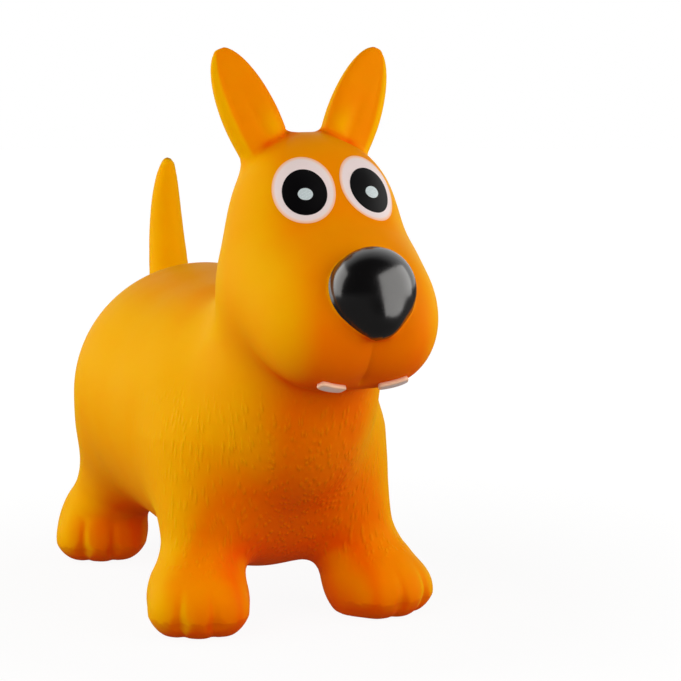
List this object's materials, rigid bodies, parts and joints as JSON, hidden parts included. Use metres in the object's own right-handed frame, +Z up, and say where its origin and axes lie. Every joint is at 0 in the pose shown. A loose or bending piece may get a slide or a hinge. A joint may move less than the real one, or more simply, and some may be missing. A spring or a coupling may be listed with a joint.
{
  "type": "bouncy ride-on animal",
  "caption": "Hollow inflatable vinyl dog-like bouncer that a small child straddles and steers by its ears, with painted face and a pull-out air plug under the belly.",
  "frame": {"origin": "on the floor under the middle of the animal's bounding box", "axes": "-Y is the way the animal faces, +X is its left side, +Z is up"},
  "size_m": [0.3036, 0.6343, 0.5725],
  "materials": {
    "vinyl": "soft moulded vinyl, satin",
    "black_paint": "gloss vinyl paint",
    "white_paint": "satin vinyl paint",
    "grey_paint": "satin vinyl paint",
    "plug_plastic": "injection moulded, satin"
  },
  "bodies": {
    "toy": {"skin": "vinyl", "nose_coat": "black_paint", "eye_white_left": "white_paint", "eye_white_right": "white_paint", "pupil_left": "black_paint", "pupil_right": "black_paint", "glint_left": "grey_paint", "glint_right": "grey_paint", "tooth_left": "white_paint", "tooth_right": "white_paint"},
    "plug": {"valve_plug": "plug_plastic"}
  },
  "joints": [
    {"name": "plug_pull", "type": "slide", "parent": "toy", "child": "plug", "axis": [0, 0, -1], "range_m": [0, 0.03]}
  ]
}
